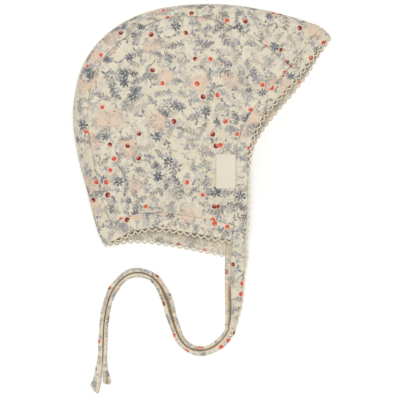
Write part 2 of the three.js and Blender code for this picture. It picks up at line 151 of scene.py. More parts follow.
def feed(node, inputs):
    """The inputs of a node linked to wires or set to values."""
    for key, value in dict(inputs).items():
        if isinstance(value, Wire):
            node.id_data.links.new(value.socket, node.inputs[key])
        else:
            node.inputs[key].default_value = value


def wires_of(node):
    """The outputs of a node as wires, by number and by name."""
    wires = {key: Wire(socket) for key, socket in enumerate(node.outputs)}
    return wires | {wire.socket.name: wire for wire in wires.values()}


def put(tree, kind, inputs=(), **settings):
    """The outputs, as wires, of a new node with these inputs and settings."""
    node = tree.nodes.new(kind)
    for name, value in settings.items():
        setattr(node, name, value)
    feed(node, inputs)
    return wires_of(node)


def mixed(share, under, over):
    """The colour over laid on the colour under, as far as share says."""
    inputs = {"Factor": share, 6: under, 7: over}
    return put(share.tree, "ShaderNodeMix", inputs, data_type="RGBA")[2]


def noise(place, scale, detail=2.0, give="Fac"):
    """Cloudy noise around a half, with the given number of clouds to a unit of the place."""
    inputs = {"Vector": place, "Scale": scale, "Detail": detail}
    return put(place.tree, "ShaderNodeTexNoise", inputs, noise_dimensions="2D")[give]


def x_and_y(place):
    """The two numbers of a place."""
    split = put(place.tree, "ShaderNodeSeparateXYZ", {0: place})
    return split["X"], split["Y"]


def distance_and_angle(place):
    """The same place in polar form."""
    x, y = x_and_y(place)
    return place.vector("LENGTH", give="Value"), y.math("ARCTAN2", x)


def new_group(name, inputs, outputs):
    """An empty shader node group with named sockets: its tree, its inputs as wires, and the node
    that takes its outputs."""
    tree = bpy.data.node_groups.new(name, "ShaderNodeTree")
    for label, kind in inputs.items():
        tree.interface.new_socket(name=label, in_out="INPUT", socket_type="NodeSocket" + kind)
    for label, kind in outputs.items():
        tree.interface.new_socket(name=label, in_out="OUTPUT", socket_type="NodeSocket" + kind)
    return tree, wires_of(tree.nodes.new("NodeGroupInput")), tree.nodes.new("NodeGroupOutput")


def build_scatter():
    """One motif to a cell of a loose 2-D Voronoi net: the place in mm seen from the motif's own
    middle, turned and scaled at random, that middle, and two random numbers of the cell."""
    tree, given, result = new_group(
        "scatter",
        {"Place": "Vector", "Cell": "Float", "Seed": "Float", "Spread": "Float"},
        {"Local": "Vector", "Middle": "Vector", "Chance": "Float", "Tone": "Float"},
    )
    seed = given["Seed"]
    shift = put(tree, "ShaderNodeCombineXYZ", {"X": seed * 37.31, "Y": seed * 61.87})[0]
    to_cells = put(tree, "ShaderNodeMath", {0: 1.0, 1: given["Cell"]}, operation="DIVIDE")[0]
    in_cells = given["Place"].vector("ADD", {1: shift}).vector("SCALE", {"Scale": to_cells})
    net_inputs = {"Vector": in_cells, "Scale": 1.0, "Randomness": 0.90}
    net = put(tree, "ShaderNodeTexVoronoi", net_inputs, voronoi_dimensions="2D")
    local = in_cells.vector("SUBTRACT", {1: net["Position"]}).vector("SCALE", {"Scale": given["Cell"]})
    random = put(tree, "ShaderNodeSeparateColor", {"Color": net["Color"]})
    turn = random["Red"] * (2 * np.pi)
    turned = put(tree, "ShaderNodeVectorRotate", {"Vector": local, "Angle": turn},
                 rotation_type="Z_AXIS")[0]
    odd = (random["Red"] * 7.31).math("FRACT") - 0.5
    feed(result, {
        "Local": turned.vector("SCALE", {"Scale": odd * given["Spread"] + 1.0}),
        "Middle": given["Place"].vector("SUBTRACT", {1: local}),
        "Chance": random["Green"],
        "Tone": random["Blue"],
    })
    return tree


# The motifs say how inked a place is, from 0 to 1. The place is in units of the motif's own size.


def fern(place):
    """A bent stem, y = 0.25 x squared, with slanting pairs of leaflets that fill half an ellipse on
    each side of it."""
    x, y = x_and_y(place)
    off = abs(y - x * x * 0.25)
    leaflet = ((x - off * 0.9 + 8.0) * 2.3).math("PINGPONG", 0.5)
    reach = (1.0 - x ** 2.0).math("MAXIMUM", 0.0).math("SQRT") * 0.47
    leaves = (reach - off).step(0.0, 0.10) * (off * 0.35 + leaflet).step(0.50, 0.26)
    stem = off.step(0.065, 0.03) * abs(x).step(1.05, 0.95)
    return leaves.math("MAXIMUM", stem)


def blossom(place):
    """Seven narrow petals, distance = 0.30 + 0.75 |cos 3.5 angle|, round a small open eye."""
    away, angle = distance_and_angle(place)
    edge = abs((angle * 3.5).math("COSINE")) * 0.75 + 0.30
    return (edge - away).step(-0.04, 0.26) * away.step(0.04, 0.22)


def leaf_pair(place):
    """Two pointed oval leaves that stand in a V on one stalk. Each is as wide as a parabola along
    its own middle line, which slants as 3 to 4."""
    x, y = x_and_y(place)
    side = abs(x)
    along = side * 0.80 + y * 0.60
    across = abs(y * 0.80 - side * 0.60)
    width = (1.0 - ((along - 0.50) * 2.0) ** 2.0) * 0.24
    stalk = side.step(0.07, 0.03) * y.step(0.05, 0.0) * y.step(-0.85, -0.75)
    return (width - across).step(-0.02, 0.09).math("MAXIMUM", stalk)


def trefoil(place):
    """Three blunt lobes, distance = 0.34 + 0.62 |cos 1.5 angle|."""
    away, angle = distance_and_angle(place)
    edge = abs((angle * 1.5).math("COSINE")) * 0.62 + 0.34
    return (edge - away).step(-0.04, 0.18)


def garland(place):
    """A thin stem along a circle of radius 0.85 round (0, -0.75), with a small leaf across it in
    every seventh of the circle."""
    x, y = x_and_y(place)
    high = y + 0.75
    off = abs((x * x + high * high).math("SQRT") - 0.85)
    leaf = (high.math("ARCTAN2", x) * 7.0).math("SINE").math("MAXIMUM", 0.0) * 0.23
    drawn = (leaf - off).step(0.03, 0.10).math("MAXIMUM", off.step(0.055, 0.02))
    return drawn * y.step(-0.55, -0.42)


scatter = build_scatter()

# Each layer of sprigs: its motif, its cell and size in mm, what share of its cells it fills between
# clusters and in them, the level of noise at which a cluster starts, and its light and dark colour.
sprig_layers = [
    (trefoil, 6.1, 2.7, (0.70, 0.85, 0.50), (216, 207, 191), (196, 193, 186)),
    (leaf_pair, 8.0, 3.8, (0.75, 0.90, 0.50), (206, 199, 187), (176, 177, 175)),
    (fern, 11.5, 4.9, (0.70, 0.75, 0.50), (190, 182, 165), (160, 155, 144)),
    (trefoil, 7.4, 2.6, (0.40, 0.70, 0.50), (189, 187, 185), (157, 160, 166)),
    (garland, 12.5, 5.6, (0.75, 0.85, 0.50), (162, 157, 146), (124, 121, 116)),
    (fern, 13.0, 5.2, (0.55, 0.80, 0.50), (161, 158, 156), (124, 124, 128)),
    (leaf_pair, 9.6, 3.1, (0.45, 0.75, 0.50), (144, 147, 149), (106, 110, 120)),
    (blossom, 11.0, 3.2, (0.05, 1.00, 0.57), (102, 108, 121), (74, 80, 97)),
]
berry_cell = 8.6
berry_radius = 1.7
berry_halo = 2.2
berries_shown = (0.23, 0.20, 0.50)
dark_berries = 0.40              # share of the berries that are dark
bloom_cell = 23.0
bloom_radius = 5.1
blooms_shown = 0.48
bloom_rough = 6.0                # how far its ragged edge goes in and out in all
stipple_cell = 1.15
fullest_ink = 0.98
watery = 0.38                    # how much of the ink comes and goes


def build_print():
    """The print at a place in mm: blooms, sprigs, leaves, garlands, blossoms and berries laid over
    one another on the ground, from the palest to the strongest, in uneven watery ink."""
    tree, given, result = new_group("ditsy_print", {"Place": "Vector"}, {"Color": "Color"})
    wobble = noise(given["Place"], 0.5, give="Color")
    place = wobble.vector("MULTIPLY_ADD", {1: (1.9, 1.9, 0.0), 2: given["Place"]})

    def cells(cell, seed, spread, place=place):
        """The motif's local place and the random numbers of a scatter of motifs."""
        inputs = {"Place": place, "Cell": cell, "Seed": float(seed), "Spread": spread}
        return put(tree, "ShaderNodeGroup", inputs, node_tree=scatter)

    def in_clusters(net, fewest, most, level):
        """1 in the cells that hold a motif, the more of them the more the noise is over level."""
        crowd = noise(net["Middle"], 0.045, 1.0).step(level - 0.07, level + 0.07)
        return net["Chance"].math("LESS_THAN", crowd * (most - fewest) + fewest)

    tint = noise(place, 0.11).step(0.40, 0.62)
    colour = mixed(tint, srgb(232, 223, 201), srgb(228, 216, 193))
    haze = noise(place, 0.30, 3.0).step(0.50, 0.60) * noise(place, 0.07, 1.0).step(0.38, 0.52)
    colour = mixed(haze * 0.55, colour, srgb(210, 208, 192))

    bloom = cells(bloom_cell, 3, 0.3)
    in_bloom = bloom["Chance"].math("LESS_THAN", blooms_shown)
    ragged = noise(place, 0.35) * bloom_rough - bloom_rough / 2
    away = bloom["Local"].vector("LENGTH", give="Value") + ragged
    wash = away.step(bloom_radius + 1.9, bloom_radius - 1.9) * in_bloom
    colour = mixed(wash * 0.70, colour, srgb(229, 203, 181))
    dots = put(tree, "ShaderNodeTexVoronoi", {"Vector": place, "Scale": 1 / stipple_cell},
               voronoi_dimensions="2D")["Distance"]
    stippled = away.step(bloom_radius + 2.3, bloom_radius + 0.9) * away.step(2.2, 5.0) * in_bloom
    colour = mixed(dots.step(0.42, 0.22) * stippled * 0.65, colour, srgb(223, 156, 132))

    ink = noise(place, 0.5, 3.0).step(0.30, 0.62) * watery + (fullest_ink - watery)
    ink = ink * (1.0 - wash * 0.70)
    for seed, (motif, cell, size, shown, light, dark) in enumerate(sprig_layers, start=5):
        net = cells(cell, seed, 0.5)
        drawn = motif(net["Local"].vector("SCALE", {"Scale": 1 / size})) * in_clusters(net, *shown)
        colour = mixed(drawn * ink, colour, mixed(net["Tone"], srgb(*light), srgb(*dark)))

    berries = cells(berry_cell, 33, 0.25, given["Place"])
    here = in_clusters(berries, *berries_shown)
    x, y = x_and_y(berries["Local"])
    away = berries["Local"].vector("LENGTH", give="Value")
    halo = away.step(berry_halo + 0.3, berry_halo - 0.3) * here
    colour = mixed(halo * 0.85, colour, srgb(240, 226, 204))
    skin = mixed(berries["Tone"].math("LESS_THAN", dark_berries), srgb(221, 88, 70), srgb(134, 45, 44))
    shine = ((x - 1.1) ** 2.0 + (y - 0.7) ** 2.0).step(2.6, 0.3)
    skin = mixed(shine * 0.70, skin, srgb(228, 160, 138))
    colour = mixed(away.step(berry_radius + 0.4, berry_radius - 0.4) * here, colour, skin)
    feed(result, {"Color": colour})
    return tree


wale_width = 0.78
course_height = 0.62


def build_knit():
    """The face of fine jersey at a place in mm: wales of small V stitches, as a height and as a
    faint light and shade, and a soft cloudiness of the yarn."""
    sockets = {"Height": "Float", "Shade": "Float"}
    tree, given, result = new_group("jersey_knit", {"Place": "Vector"}, sockets)
    place = given["Place"]
    x, y = x_and_y(place)
    wale = (x / wale_width).math("PINGPONG", 0.5)
    course = (wale * 0.9 + y / course_height).math("PINGPONG", 0.5)
    stitch = (wale * (2 * np.pi)).math("SINE") * (course + 0.5)
    height = noise(place, 1.6, 3.0) * 0.5 + stitch
    cloud = noise(place, 0.06) * 0.06 - 0.03
    grain = noise(place, 0.85, 1.0) * 0.20
    feed(result, {"Height": height, "Shade": height * 0.045 + 0.835 + cloud + grain})
    return tree


ditsy_print = build_print()
jersey_knit = build_knit()
# The pale ground of the back of the cloth, made a little lighter as painted light for the shaded insides.
wrong_side_and_painted_light_ground = srgb(243, 230, 204)
# Painted shade, for folds, seam ditches, split ends and the shadows under edges.
painted_shade_colour = srgb(148, 113, 68)


def new_material(name):
    """A new material, its shader, and a wire with the place on the flat cloth in metres."""
    material = bpy.data.materials.new(name)
    material.use_nodes = True
    flat = put(material.node_tree, "ShaderNodeUVMap", uv_map="cloth")[0]
    return material, material.node_tree.nodes["Principled BSDF"], flat


def relief(height, strength, depth):
    """The normal of a surface with these heights, depth metres deep."""
    inputs = {"Height": height, "Strength": strength, "Distance": depth}
    return put(height.tree, "ShaderNodeBump", inputs)[0]


def printed_cloth(name, shift, turn):
    """Material of one cut piece. Its own part of the print comes from where the piece was cut,
    shift in mm and turn in radians. The attribute wrong_side fades the print to the back of the
    cloth, its pale ground partly painted light, and the other attribute mixes in painted shade
    where shade falls: in folds, in seams and under edges."""
    material, shader, flat = new_material(name)
    tree = material.node_tree
    to_mm = (1000, 1000, 1000)
    inputs = {"Vector": flat, "Location": (*shift, 0.0), "Rotation": (0.0, 0.0, turn), "Scale": to_mm}
    cut = put(tree, "ShaderNodeMapping", inputs)[0]
    pattern = put(tree, "ShaderNodeGroup", {"Place": cut}, node_tree=ditsy_print)
    knit = put(tree, "ShaderNodeGroup", {"Place": cut}, node_tree=jersey_knit)
    wrong_side = put(tree, "ShaderNodeAttribute", attribute_name="wrong_side")["Fac"]
    painted_shade = put(tree, "ShaderNodeAttribute", attribute_name="painted_shade")["Fac"]
    colour = mixed(wrong_side * 0.72, pattern["Color"], wrong_side_and_painted_light_ground)
    colour = mixed(painted_shade * 0.82, colour, painted_shade_colour)
    grey = dict.fromkeys(("Red", "Green", "Blue"), knit["Shade"])
    shade = put(tree, "ShaderNodeCombineColor", grey)[0]
    shaded = put(tree, "ShaderNodeMix", {"Factor": 1.0, 6: colour, 7: shade},
                 data_type="RGBA", blend_type="MULTIPLY")[2]
    feed(shader, {
        "Base Color": shaded, "Normal": relief(knit["Height"], 0.6, 0.00012), "Roughness": 0.92,
        "Specular IOR Level": 0.2, "Sheen Weight": 0.12, "Sheen Roughness": 0.5,
    })
    return material


# Ties
# Two narrow tubes of the same jersey, folded lengthwise and sewn shut along their open side. They
# carry on from the ends of the straps and lie side by side on the floor, limp, with bare ends.

cap_length = 0.1813
cap_height = 0.1687
strap_drop = 0.057
tie_width = 0.0030
tie_thickness = 0.0022

strap_ends = {"upper": (0.612, 0.631), "lower": (0.587, 0.606)}    # shares of cap_length
tie_start = 0.61
# right, up and apart in mm, from the lower end of the straps
tie_route = 0.001 * np.array([
    (-0.2, -2.4, 4.5), (-1.7, -5.6, 4.2), (-5.1, -10.0, 3.8), (-9.9, -14.2, 3.5),
    (-16.1, -17.2, 3.4), (-21.7, -17.9, 3.4), (-27.3, -16.9, 3.4), (-32.0, -13.9, 3.5),
    (-35.7, -9.4, 3.6), (-38.5, -3.2, 3.8), (-41.5, 5.9, 4.2), (-43.8, 14.3, 5.0),
    (-45.9, 20.3, 4.8), (-49.0, 26.9, 4.1), (-52.5, 31.6, 3.6), (-56.7, 34.9, 3.4),
    (-61.2, 36.7, 3.4), (-66.5, 37.3, 3.4), (-72.1, 35.9, 3.4), (-77.0, 32.5, 3.4),
    (-80.9, 28.3, 3.4), (-84.0, 23.2, 3.4), (-86.8, 15.7, 3.4), (-88.6, 7.3, 3.4),
    (-89.6, -1.5, 3.4), (-90.0, -12.0, 3.4), (-90.3, -22.1, 3.6), (-90.8, -30.5, 4.3),
    (-90.7, -38.5, 7.0), (-91.6, -44.5, 8.4),
])


def place(along, up):
    """Shares of the cap's length and height as a point over the floor."""
    x = (np.asarray(along) - 0.5) * cap_length
    y = np.asarray(up) * cap_height - (cap_height - strap_drop) / 2
    return np.stack([x, y], axis=-1)


def smooth_curve(points, steps=40):
    """Dense points of the centripetal Catmull-Rom curve through a few, steps to a stretch."""
    points = np.asarray(points, float)
    wide = np.vstack([2 * points[0] - points[1], points, 2 * points[-1] - points[-2]])
    p0, p1, p2, p3 = wide[:-3], wide[1:-2], wide[2:-1], wide[3:]
    d0, d1, d2 = (
        np.sqrt(np.linalg.norm(b - a, axis=1))[:, None] for a, b in ((p0, p1), (p1, p2), (p2, p3))
    )
    out = d1 * ((p1 - p0) / d0 - (p2 - p0) / (d0 + d1) + (p2 - p1) / d1)
    into = d1 * ((p2 - p1) / d1 - (p3 - p1) / (d1 + d2) + (p3 - p2) / d2)
    w = np.linspace(0, 1, steps, endpoint=False)[None, :, None]
    p1, p2, out, into = (a[:, None] for a in (p1, p2, out, into))
    dense = p1 + out * w + (3 * (p2 - p1) - 2 * out - into) * w**2 + (2 * (p1 - p2) + out + into) * w**3
    return np.vstack([dense.reshape(-1, points.shape[1]), points[-1]])


def run_along(curve):
    """Length of a dense curve up to each of its points."""
    return np.concatenate([[0.0], np.cumsum(np.linalg.norm(np.diff(curve, axis=0), axis=1))])


def look_up(want, run, rows):
    """The rows, which stand at the lengths run, at the lengths wanted."""
    return np.stack([np.interp(want, run, column) for column in rows.T], axis=-1)


def at_share(curve, shares):
    """Points of a dense curve at shares of its length."""
    run = run_along(curve)
    return look_up(np.asarray(shares) * run[-1], run, curve)


def unit(vectors):
    """Vectors scaled to length 1."""
    return vectors / np.maximum(np.linalg.norm(vectors, axis=-1, keepdims=True), 1e-12)


def heading(curve, shares):
    """Unit directions of a dense curve at shares of its length."""
    run = run_along(curve)
    return unit(look_up(np.asarray(shares) * run[-1], run, np.gradient(curve, run, axis=0)))


def left_of(ahead):
    """Directions turned a quarter to the left, as seen from above."""
    return np.stack([-ahead[..., 1], ahead[..., 0]], axis=-1)


def smoothstep(x, low, high):
    """0 at low, 1 at high and a smooth step between."""
    t = np.clip((x - low) / (high - low), 0, 1)
    return t * t * (3 - 2 * t)


def rounded(from_edge, radius, flat=0.02):
    """The height of a quarter round at a distance from the edge: the root of flat at the edge
    itself, and 1 from the radius on."""
    return np.sqrt(1 - (1 - flat) * np.clip(1 - from_edge / radius, 0, 1) ** 2)


def loft(name, loops, cloth_place, material, wrong_side=None, painted_shade=None):
    """A closed body through closed loops of points, as an array (loop, point, 3). The first and
    last loops are closed by rungs between their points j and count - 1 - j. cloth_place (loop,
    point, 2) is where each point lies on the flat cloth, in metres. Faces point outwards."""
    loops = np.asarray(loops, float)
    rows, count = loops.shape[:2]
    first = np.arange(rows - 1)[:, None] * count
    here = first + np.arange(count)
    after = first + (np.arange(count) + 1) % count
    sides = np.stack([here, after, after + count, here + count], axis=-1).reshape(-1, 4)
    rung = np.arange(count // 2 - 1)
    cap = np.stack([rung, count - 1 - rung, count - 2 - rung, rung + 1], axis=-1)
    quads = np.vstack([sides, cap, (rows - 1) * count + cap[:, ::-1]])
    points = loops.reshape(-1, 3)
    halves = np.vstack([quads[:, [0, 1, 2]], quads[:, [0, 2, 3]]])
    a, b, c = (points[halves[:, k]] for k in range(3))
    if np.einsum("ij,ij->i", a, np.cross(b, c)).sum() < 0:
        quads = quads[:, ::-1]
    mesh = bpy.data.meshes.new(name)
    mesh.from_pydata(points.tolist(), [], quads.tolist())
    mesh.update()
    corners = np.empty(len(mesh.loops), np.int32)
    mesh.loops.foreach_get("vertex_index", corners)
    flat = np.asarray(cloth_place, float).reshape(-1, 2)[corners]
    mesh.uv_layers.new(name="cloth").data.foreach_set("uv", flat.ravel())
    for label, values in (("wrong_side", wrong_side), ("painted_shade", painted_shade)):
        shares = np.broadcast_to(0.0 if values is None else values, (rows, count)).ravel()
        mesh.attributes.new(label, "FLOAT", "POINT").data.foreach_set("value", shares.astype(float))
    mesh.polygons.foreach_set("use_smooth", np.ones(len(mesh.polygons), bool))
    mesh.materials.append(material)
    piece = bpy.data.objects.new(name, mesh)
    bpy.context.scene.collection.objects.link(piece)
    return piece


def fasten(piece, slot, *nodes):
    """The piece rides on the part's one body and stands for nodes. The slot is not used."""
    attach(piece, "root")
    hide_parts(*nodes)


def tie_path(side, ends, shorter):
    """Middle line of one tie: from the end of its strap, then beside the other tie."""
    start = place(np.mean(ends), -strap_drop / cap_height)
    middle = tie_route[:, :2] + place(tie_start, -strap_drop / cap_height)
    ahead = unit(np.gradient(smooth_curve(middle, 60), axis=0))[::60]
    points = middle + side * tie_route[:, 2:] / 2 * left_of(ahead)
    points[-1] -= unit(points[-1] - points[-2]) * shorter
    flat = smooth_curve(np.vstack([start, points]))
    return np.column_stack([flat, np.full(len(flat), tie_thickness / 2)])


# Section of a tie: across towards its sewn side and up, as shares of width and thickness, how far
# a point goes along when the seam opens, 1 where it gets painted shade in the fold between the
# ties, and 1 where it is plain.
tie_section = np.array([
    (-0.50, 0.00, 0.0, 0.0, 0.0), (-0.44, 0.30, 0.0, 0.0, 0.0), (-0.25, 0.46, 0.0, 0.0, 0.0),
    (0.00, 0.50, 0.0, 0.0, 0.1), (0.20, 0.48, 0.0, 0.0, 0.8), (0.36, 0.40, 0.0, 0.15, 1.0),
    (0.46, 0.24, 0.0, 0.9, 0.5), (0.42, 0.06, 0.0, 1.0, 0.0), (0.22, 0.00, 0.0, 1.0, 0.0),
    (0.40, -0.05, 0.9, 1.0, 0.0), (0.48, -0.18, 1.0, 1.0, 0.0), (0.43, -0.36, 1.0, 0.6, 0.0),
    (0.25, -0.48, 0.5, 0.0, 0.0), (0.00, -0.50, 0.0, 0.0, 0.0), (-0.25, -0.48, 0.0, 0.0, 0.0),
    (-0.44, -0.30, 0.0, 0.0, 0.0),
])
tie_end_round = 0.0024           # over which the end of a tie closes
tie_end_slant = 0.014            # over which its section turns to the slant of its cut
tie_split = (0.002, 0.009)       # the split is full and gone this far from the end
tie_shading = (0.024, 0.040)     # and the shade at its start is full and gone this far from there
tie_sway = 0.0002                # how much its folded side sways, once in tie_sway_length
tie_sway_length = 0.019
furrow_reach = 0.21              # of the width
furrow_depth = 1.6               # of the height over the middle of the tie


def closed_section(table, steps):
    """A smooth closed loop through the rows of a table."""
    wide = smooth_curve(np.vstack([table[-2:], table, table[:3]]), steps)
    return wide[2 * steps:(2 + len(table)) * steps]


def distance_to(path, points):
    """Distance from each point to the nearest one of a dense path."""
    return np.linalg.norm(points[:, None] - path[None], axis=-1).min(axis=1)


def tie_piece(name, path, side, width, gape, slant, split, shaded, plain, shift):
    """A tie: its section carried along its path, with its width and the opening of its seam at
    even steps. It starts as thick as the strap, its extra width there lies inwards, and as far as
    it is shaded its inner half gets painted shade. The last few mm close in a round end, cut on a
    slant, and as far as the end is split a furrow with painted shade in it runs into it. On the
    cloth it runs on backwards from the end of the strap."""
    length = run_along(path)[-1]
    share = np.linspace(0, 1, len(width))
    from_start = (share * length)[:, None]
    from_end = ((1 - share) * length)[:, None]
    width, gape = width[:, None], gape[:, None]
    first_half = share[:, None] < 0.5
    across, up, opening, shade_side, plain_side = closed_section(tie_section, 2).T
    upper_face = up > 0
    blunt = rounded(from_end, tie_end_round)
    flatter = tie_thickness * np.where(first_half, 1, np.clip(tie_width / width, 0.55, 1) ** 0.8)
    moved_in = np.maximum(width - 1.25 * tie_width, 0) / 2 * first_half
    sway = tie_sway * np.sin(from_start / tie_sway_length * 2 * np.pi) * (across < 0)
    inwards = across * width * blunt + opening * gape
    furrow = split * (1 - smoothstep(from_end, *tie_split)) * np.exp(-(across / furrow_reach) ** 2)
    furrow *= upper_face
    lift = up * flatter * blunt * (1 - furrow_depth * furrow) + (flatter - tie_thickness) / 2
    skew = slant * np.clip(1 - from_end / tie_end_slant, 0, 1) * inwards
    inner_half = smoothstep(across, 0.0, 0.2) * upper_face
    shade = shaded * (1 - smoothstep(from_start, *tie_shading)) * inner_half
    centre = at_share(path, share)[:, None]
    ahead = heading(path, share)[:, None]
    inward = np.concatenate([-side * left_of(ahead), np.zeros((len(share), 1, 1))], axis=-1)
    points = centre + inward * (inwards + sway + moved_in)[..., None] + ahead * skew[..., None]
    points[..., 2] += lift
    on_cloth = np.stack(np.broadcast_arrays(-from_start, inwards + width / 2), axis=-1)
    piece = loft(
        name, points, on_cloth, printed_cloth(name + "_cloth", shift, 0.0),
        wrong_side=np.clip(plain_side, 0, 1) * plain, painted_shade=np.clip(shade_side + furrow + shade, 0, 1),
    )
    return piece, length


tie_shares = np.linspace(0, 1, 330)
# Widths of the ties: shares of a tie's length, and its width there in metres
upper_width = np.interp(tie_shares, *np.transpose([
    (0, 0.0058), (0.03, 0.0052), (0.13, 0.0035), (0.2, 0.0030),
    (0.9, 0.0028), (0.94, 0.0034), (1, 0.0066),
]))
lower_width = np.interp(tie_shares, *np.transpose([
    (0, 0.0034), (0.06, 0.0031), (0.5, 0.0030), (0.84, 0.0031), (0.92, 0.0045), (1, 0.0078),
]))
upper_path = tie_path(1, strap_ends["upper"], shorter=0.0035)
lower_path = tie_path(-1, strap_ends["lower"], shorter=-0.0025)
# The lower tie's open seam fills what the upper one leaves, but for the last part, where they part.
between = distance_to(upper_path[::4], at_share(lower_path, tie_shares))
overlap = 0.0001
widest_gape = 0.0018
parting = (0.08, 0.16)           # shares of the length from the end, shut and as open as it gets
gape = np.clip(between - (upper_width + lower_width) / 2 + overlap, 0, widest_gape)
gape *= smoothstep(1 - tie_shares, *parting)
ties = {
    "upper": {"path": upper_path, "side": 1, "width": upper_width, "gape": np.zeros(len(gape)),
              "slant": -0.1, "split": 1.0, "shaded": 0.0, "plain": 0.9, "shift": (90.0, 410.0)},
    "lower": {"path": lower_path, "side": -1, "width": lower_width, "gape": gape,
              "slant": 0.65, "split": 0.0, "shaded": 0.9, "plain": 0.5, "shift": (230.0, 15.0)},
}
for layer, settings in ties.items():
    tie, tie_length = tie_piece(layer + "_tie", **settings)
    fasten(tie, "printed_binding", "tie_" + layer)

# Side panels
# The two sides of the cap, each one piece of jersey. The upper one is domed and puffs a little, and
# the lower one lies flat on the floor. Their edges roll into the seams, which pucker slightly.

cap_thickness = 0.028
cloth_wall = 0.0018
band_wall = 0.0022
front_band_width = 0.0086
neck_band_width = 0.0112
seam_gap = 0.00004               # the seams are drawn tight here
fold_round = {"upper": 0.62, "lower": 0.4}
fold_level = 0.46

fold_outline = place(*np.transpose([
    (0.996, 0.872), (0.960, 0.906), (0.850, 0.948), (0.730, 0.979), (0.614, 0.997), (0.475, 0.999),
    (0.336, 0.981), (0.212, 0.934), (0.108, 0.853), (0.039, 0.749), (0.008, 0.627), (0.001, 0.510),
    (0.023, 0.353), (0.060, 0.195), (0.091, 0.066), (0.114, 0.006),
]))
crown_seam = place(*np.transpose([
    (0.824, 0.755), (0.764, 0.809), (0.680, 0.867), (0.590, 0.914), (0.475, 0.943), (0.351, 0.934),
    (0.243, 0.884), (0.150, 0.807), (0.089, 0.720), (0.066, 0.618), (0.060, 0.515), (0.078, 0.369),
    (0.106, 0.222), (0.133, 0.110),
]))
face_edges = {
    "upper": place(*np.transpose([
        (0.996, 0.872), (0.919, 0.772), (0.861, 0.689), (0.795, 0.612), (0.737, 0.535),
        (0.695, 0.452), (0.676, 0.369), (0.674, 0.249), (0.672, 0.124), (0.664, 0.008),
    ])),
    "lower": place(*np.transpose([
        (0.996, 0.872), (0.950, 0.797), (0.903, 0.712), (0.846, 0.633), (0.788, 0.560), (0.734, 0.485),
        (0.693, 0.407), (0.676, 0.320), (0.668, 0.207), (0.654, 0.071), (0.635, -0.050),
    ])),
}
neck_edges = {
    "upper": place(*np.transpose([
        (0.114, 0.006), (0.151, 0.015), (0.185, 0.033), (0.228, 0.054), (0.282, 0.067),
        (0.355, 0.066), (0.432, 0.054), (0.510, 0.040), (0.612, 0.017),
    ])),
    "lower": place(*np.transpose([
        (0.114, 0.006), (0.162, 0.010), (0.220, 0.018), (0.286, 0.016), (0.355, 0.006),
        (0.432, -0.008), (0.510, -0.025), (0.585, -0.043),
    ])),
}
# along, up and height of the upper layer, as a share of cap_thickness
heights = np.array([
    (0.45, 0.62, 1.00), (0.14, 0.52, 0.90), (0.22, 0.80, 0.86), (0.50, 0.90, 0.80), (0.75, 0.88, 0.60),
    (0.97, 0.86, 0.30), (0.84, 0.72, 0.44), (0.68, 0.44, 0.60), (0.66, 0.22, 0.56), (0.65, 0.01, 0.36),
    (0.40, 0.32, 0.92), (0.40, 0.05, 0.60), (0.12, 0.04, 0.42),
])
height_spread = 0.135 * cap_height
# along, up, rise as a share of cap_thickness and reach as a share of cap_height
dents = np.array([
    (0.30, 0.72, 0.05, 0.11), (0.58, 0.68, -0.05, 0.09), (0.24, 0.40, -0.05, 0.10),
    (0.52, 0.24, 0.05, 0.08), (0.74, 0.74, 0.04, 0.07),
])
# direction in radians, wavelength and height in metres of the soft waves in lying cloth
waves = np.array([
    (0.5, 0.047, 0.00030), (1.9, 0.038, 0.00025), (2.7, 0.029, 0.00018), (1.2, 0.021, 0.00012),
])

fold = smooth_curve(fold_outline)
fold_length = run_along(fold)[-1]
fold_count = 241
past_ends = 0.025                # straight ends let a point just past the tips find its nearest side
fold_points = at_share(fold, np.linspace(0, 1, fold_count))
fold_headings = heading(fold, np.linspace(0, 1, fold_count))[[0, *range(fold_count), -1]]
fold_points = np.vstack([
    fold_points[0] - past_ends * fold_headings[0],
    fold_points,
    fold_points[-1] + past_ends * fold_headings[-1],
])


def nearest_on_fold(points):
    """For points seen from above: their distance from the fold, the direction away from it, and
    how far along the fold its nearest point lies."""
    starts, run = fold_points[:-1], np.diff(fold_points, axis=0)
    along = run_along(fold_points) - past_ends
    off = points[:, None] - starts
    share = np.clip((off * run).sum(-1) / (run**2).sum(-1), 0, 1)
    away = np.linalg.norm(off - share[..., None] * run, axis=-1)
    best = away.argmin(axis=1)
    rows = np.arange(len(points))
    part = share[rows, best]
    ahead = (1 - part)[:, None] * fold_headings[best] + part[:, None] * fold_headings[best + 1]
    foot = along[best] + part * (along[best + 1] - along[best])
    return away[rows, best], left_of(unit(ahead)), foot


def upper_level(points):
    """Height of the upper layer away from the fold: the mean of the heights in the table, weighted
    by a bell of their distance, plus a bell for each dent, plus the soft waves."""
    far = np.linalg.norm(points[:, None] - place(heights[:, 0], heights[:, 1]), axis=-1)
    weight = np.exp(-(far / height_spread) ** 2 / 2)
    level = (weight * heights[:, 2]).sum(-1) / weight.sum(-1)
    far = np.linalg.norm(points[:, None] - place(dents[:, 0], dents[:, 1]), axis=-1)
    level += (dents[:, 2] * np.exp(-(far / (dents[:, 3] * cap_height)) ** 2)).sum(-1)
    toward, length, height = waves.T
    phase = points @ np.stack([np.cos(toward), np.sin(toward)]) / length * 2 * np.pi + toward * 5
    return cap_thickness * level + (height * np.sin(phase)).sum(-1)


def field_at(plan):
    """What a layer's shape depends on at points seen from above, worked out in blocks: distance
    from the fold, direction away from it, height of the upper layer and place along the fold."""
    flat = plan.reshape(-1, 2)
    blocks = [(*nearest_on_fold(block), upper_level(block))
              for block in np.array_split(flat, len(flat) // 8000 + 1)]
    distance, inward, foot, shoulder = (np.concatenate(parts) for parts in zip(*blocks))
    shape = plan.shape[:-1]
    return distance.reshape(shape), inward.reshape(*shape, 2), shoulder.reshape(shape), foot.reshape(shape)


